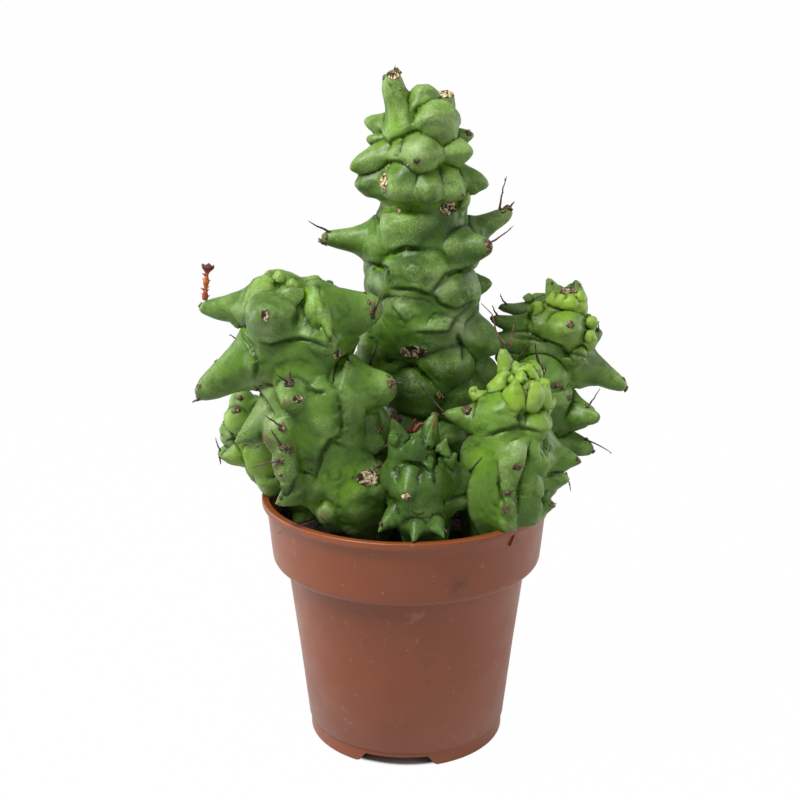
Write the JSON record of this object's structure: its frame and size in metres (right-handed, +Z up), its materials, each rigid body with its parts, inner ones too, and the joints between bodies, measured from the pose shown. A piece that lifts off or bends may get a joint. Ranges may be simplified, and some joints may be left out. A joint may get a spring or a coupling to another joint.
{
  "type": "potted euphorbia",
  "caption": "Knobbly green succulent stems with blunt spined teeth, growing in dark soil in a flared brown nursery pot.",
  "frame": {"origin": "middle of the whole outline seen from above, at the height of the surface that the pot stands on; the pot's own axis is 5 mm towards -X from it", "axes": "+Z up, +Y away from the viewer of the front, +X to the right"},
  "size_m": [0.1741, 0.12, 0.275],
  "materials": {
    "pot": "satin",
    "soil": "matte",
    "stem_tall": "satin",
    "stem_left_front": "satin",
    "stem_left_rear": "satin",
    "stem_front": "satin",
    "stem_right_front": "satin",
    "stem_right_rear": "satin",
    "stem_rear": "satin",
    "flower_stalk": "matte"
  },
  "bodies": {
    "root": {"pot": "pot", "soil": "soil", "stem_tall": "stem_tall", "stem_left_front": "stem_left_front", "stem_left_rear": "stem_left_rear", "stem_front": "stem_front", "stem_right_front": "stem_right_front", "stem_right_rear": "stem_right_rear", "stem_rear": "stem_rear", "flower_stalk": "flower_stalk"}
  },
  "joints": []
}
